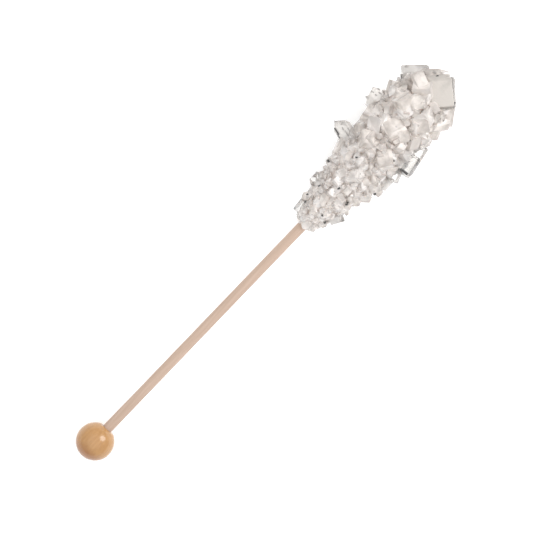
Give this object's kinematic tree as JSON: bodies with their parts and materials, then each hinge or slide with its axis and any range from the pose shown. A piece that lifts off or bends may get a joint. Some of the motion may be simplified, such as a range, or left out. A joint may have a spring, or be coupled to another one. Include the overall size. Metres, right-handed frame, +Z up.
{
  "type": "rock candy stick",
  "caption": "Sweet of clear sugar crystals grown in a tapered clump on a birch stick that ends in a wooden ball handle.",
  "frame": {"origin": "on the ground, below the middle of the object's bounding box, with the stick lying down", "axes": "+X along the stick from the ball to the tip of the crystals (the stick climbs by about 2 degrees), +Z up, out of the ground; +Y to the left seen from the ball"},
  "size_m": [0.1648, 0.0292, 0.023],
  "materials": {
    "varnished_bead": "turned birch bead with a clear gloss varnish",
    "birch": "bare birch dowel, planed smooth, fine lengthwise grain",
    "clear_sugar": "clear to milky sugar crystals with flat, glassy faces"
  },
  "bodies": {
    "root": {"handle_ball": "varnished_bead", "stick": "birch", "sugar_crystals": "clear_sugar"}
  },
  "joints": []
}
